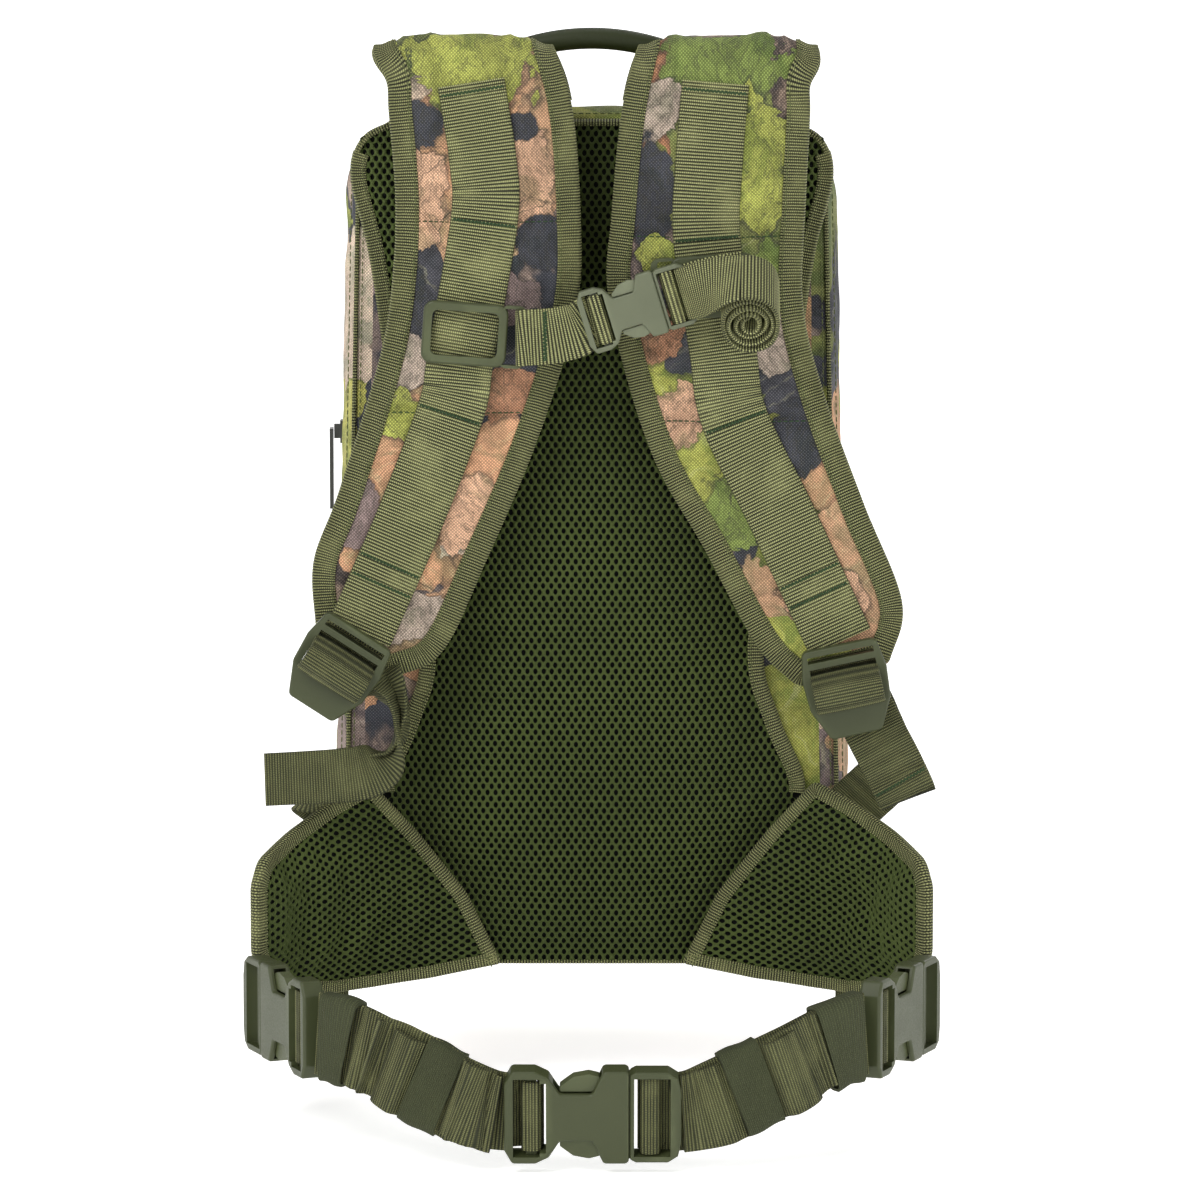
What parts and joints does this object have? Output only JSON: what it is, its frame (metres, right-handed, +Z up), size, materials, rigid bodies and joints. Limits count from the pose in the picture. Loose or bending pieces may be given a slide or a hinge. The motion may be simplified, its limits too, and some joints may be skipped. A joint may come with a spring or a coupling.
{
  "type": "hunting backpack",
  "caption": "Day pack with padded shoulder straps, mesh back, chest strap and winged waist belt, all closed by side-release buckles.",
  "frame": {"origin": "middle of the lower edge of the back panel, where it lies on the wearer's lower back", "axes": "+Z up the wearer's back, -Y towards the wearer, +X across the pack"},
  "size_m": [0.3234, 0.3665, 0.4968],
  "materials": {
    "camo_fabric": "woven polyester printed with leaves and bark",
    "webbing": "ribbed woven webbing",
    "binding": "ribbed binding tape",
    "air_mesh": "spacer mesh with oval holes",
    "foam": "closed-cell foam",
    "buckle_plastic": "moulded, satin",
    "handle_rubber": "smooth moulded rubber",
    "zip_tape": "coil zip on woven tape",
    "zip_pull": "moulded",
    "stiffener_sheet": "plain sheet",
    "elastic": "knitted elastic"
  },
  "bodies": {
    "pack": {"main_shell": "camo_fabric", "main_zip": "zip_tape", "frame_sheet": "stiffener_sheet", "back_foam": "foam", "back_mesh": "air_mesh", "back_binding": "binding", "strap_left_pad": "foam", "strap_left_face": "camo_fabric", "strap_left_binding": "binding", "strap_left_webbing": "webbing", "strap_right_pad": "foam", "strap_right_face": "camo_fabric", "strap_right_binding": "binding", "strap_right_webbing": "webbing", "wing_left_mesh": "air_mesh", "wing_left_foam": "foam", "wing_left_binding": "binding", "wing_right_mesh": "air_mesh", "wing_right_foam": "foam", "wing_right_binding": "binding", "anchor_webbing_left": "webbing", "anchor_webbing_right": "webbing", "waist_buckle_socket": "buckle_plastic", "side_buckle_left_socket": "buckle_plastic", "belt_webbing_left": "webbing", "belt_keepers_left": "elastic"},
    "handle": {"handle_grip": "handle_rubber", "handle_webbing": "webbing"},
    "lid": {"lid_shell": "camo_fabric", "front_pocket": "camo_fabric", "pocket_zip": "zip_tape"},
    "main_slider": {"main_slider": "zip_pull"},
    "main_pull": {"main_pull": "zip_pull"},
    "pocket_slider": {"pocket_slider": "zip_pull"},
    "pocket_pull": {"pocket_pull": "zip_pull"},
    "lock_left": {"ladder_lock_left": "buckle_plastic", "lower_webbing_left": "webbing"},
    "lock_right": {"ladder_lock_right": "buckle_plastic", "lower_webbing_right": "webbing"},
    "belt_right": {"waist_buckle_plug": "buckle_plastic", "belt_webbing_right": "webbing", "belt_keepers_right": "elastic", "side_buckle_right_socket": "buckle_plastic"},
    "wing_tip_left": {"side_buckle_left_plug": "buckle_plastic", "wing_loop_left": "webbing"},
    "wing_tip_right": {"side_buckle_right_plug": "buckle_plastic", "wing_loop_right": "webbing"},
    "chest_strap": {"chest_sliders": "buckle_plastic", "chest_webbing_left": "webbing", "chest_buckle_socket": "buckle_plastic"},
    "chest_plug": {"chest_buckle_plug": "buckle_plastic", "chest_webbing_right": "webbing"},
    "waist_prong_upper": {"waist_prong_upper": "buckle_plastic"},
    "waist_prong_lower": {"waist_prong_lower": "buckle_plastic"},
    "chest_prong_upper": {"chest_prong_upper": "buckle_plastic"},
    "chest_prong_lower": {"chest_prong_lower": "buckle_plastic"},
    "side_prong_left_upper": {"side_prong_left_upper": "buckle_plastic"},
    "side_prong_left_lower": {"side_prong_left_lower": "buckle_plastic"},
    "side_prong_right_upper": {"side_prong_right_upper": "buckle_plastic"},
    "side_prong_right_lower": {"side_prong_right_lower": "buckle_plastic"}
  },
  "joints": [
    {"name": "handle_fold", "type": "hinge", "parent": "pack", "child": "handle", "pos_m": [0, 0.012, 0.4074], "axis": [-1, 0, 0], "range_deg": [0, 66]},
    {"name": "lid_open", "type": "hinge", "parent": "pack", "child": "lid", "pos_m": [0, 0.0961, 0], "axis": [-1, 0, 0], "range_deg": [0, 75]},
    {"name": "main_slider_slide", "type": "slide", "parent": "pack", "child": "main_slider", "axis": [0.021, 0, 0.9998], "range_m": [-0.14, 0.08]},
    {"name": "main_pull_swing", "type": "hinge", "parent": "main_slider", "child": "main_pull", "pos_m": [-0.12615, 0.0942, 0.2443], "axis": [0, 1, 0], "range_deg": [0, 150]},
    {"name": "pocket_slider_slide", "type": "slide", "parent": "lid", "child": "pocket_slider", "axis": [1, 0, 0], "range_m": [0, 0.105]},
    {"name": "pocket_pull_swing", "type": "hinge", "parent": "pocket_slider", "child": "pocket_pull", "pos_m": [-0.0595, 0.141, 0.2715], "axis": [0, -1, 0], "range_deg": [0, 170]},
    {"name": "lock_left_tilt", "type": "hinge", "parent": "pack", "child": "lock_left", "pos_m": [-0.10837, -0.0525, 0.16566], "axis": [-0.8387, 0, 0.5446], "range_deg": [0, 45]},
    {"name": "lock_right_tilt", "type": "hinge", "parent": "pack", "child": "lock_right", "pos_m": [0.11483, -0.0525, 0.15893], "axis": [-0.9781, 0, -0.2079], "range_deg": [0, 45]},
    {"name": "waist_release", "type": "slide", "parent": "pack", "child": "belt_right", "axis": [1, 0, 0], "range_m": [0, 0.036]},
    {"name": "side_left_release", "type": "slide", "parent": "pack", "child": "wing_tip_left", "axis": [-0.4, 0.9165, 0], "range_m": [0, 0.036]},
    {"name": "side_right_release", "type": "slide", "parent": "belt_right", "child": "wing_tip_right", "axis": [0.4, 0.9165, 0], "range_m": [0, 0.036]},
    {"name": "chest_height", "type": "slide", "parent": "pack", "child": "chest_strap", "axis": [-0.03, 0, 0.9995], "range_m": [-0.008, 0.008]},
    {"name": "chest_release", "type": "slide", "parent": "chest_strap", "child": "chest_plug", "axis": [0.9563, 0, 0.2924], "range_m": [0, 0.024]},
    {"name": "waist_prong_upper_press", "type": "hinge", "parent": "belt_right", "child": "waist_prong_upper", "pos_m": [0.0106, -0.19795, -0.01711], "axis": [0, -0.9781, -0.2079], "range_deg": [0, 9], "stiffness_Nm_per_rad": 0.4},
    {"name": "waist_prong_lower_press", "type": "hinge", "parent": "belt_right", "child": "waist_prong_lower", "pos_m": [0.0106, -0.19205, -0.04489], "axis": [0, 0.9781, 0.2079], "range_deg": [0, 9], "stiffness_Nm_per_rad": 0.4},
    {"name": "side_prong_left_upper_press", "type": "hinge", "parent": "wing_tip_left", "child": "side_prong_left_upper", "pos_m": [-0.14552, -0.10918, 0.0127], "axis": [0.9165, 0.4, 0], "range_deg": [0, 9], "stiffness_Nm_per_rad": 0.4},
    {"name": "side_prong_left_lower_press", "type": "hinge", "parent": "wing_tip_left", "child": "side_prong_left_lower", "pos_m": [-0.14552, -0.10918, -0.0157], "axis": [-0.9165, -0.4, 0], "range_deg": [0, 9], "stiffness_Nm_per_rad": 0.4},
    {"name": "side_prong_right_upper_press", "type": "hinge", "parent": "wing_tip_right", "child": "side_prong_right_upper", "pos_m": [0.14552, -0.10918, 0.0127], "axis": [0.9165, -0.4, 0], "range_deg": [0, 9], "stiffness_Nm_per_rad": 0.4},
    {"name": "side_prong_right_lower_press", "type": "hinge", "parent": "wing_tip_right", "child": "side_prong_right_lower", "pos_m": [0.14552, -0.10918, -0.0157], "axis": [-0.9165, 0.4, 0], "range_deg": [0, 9], "stiffness_Nm_per_rad": 0.4},
    {"name": "chest_prong_upper_press", "type": "hinge", "parent": "chest_plug", "child": "chest_prong_upper", "pos_m": [0.02485, -0.065, 0.32977], "axis": [0, -1, 0], "range_deg": [0, 9], "stiffness_Nm_per_rad": 0.4},
    {"name": "chest_prong_lower_press", "type": "hinge", "parent": "chest_plug", "child": "chest_prong_lower", "pos_m": [0.03033, -0.065, 0.31184], "axis": [0, 1, 0], "range_deg": [0, 9], "stiffness_Nm_per_rad": 0.4}
  ],
  "couplings": [
    {"joint": "waist_prong_lower_press", "follows": "waist_prong_upper_press", "ratio": 1},
    {"joint": "side_prong_left_lower_press", "follows": "side_prong_left_upper_press", "ratio": 1},
    {"joint": "side_prong_right_lower_press", "follows": "side_prong_right_upper_press", "ratio": 1},
    {"joint": "chest_prong_lower_press", "follows": "chest_prong_upper_press", "ratio": 1}
  ]
}
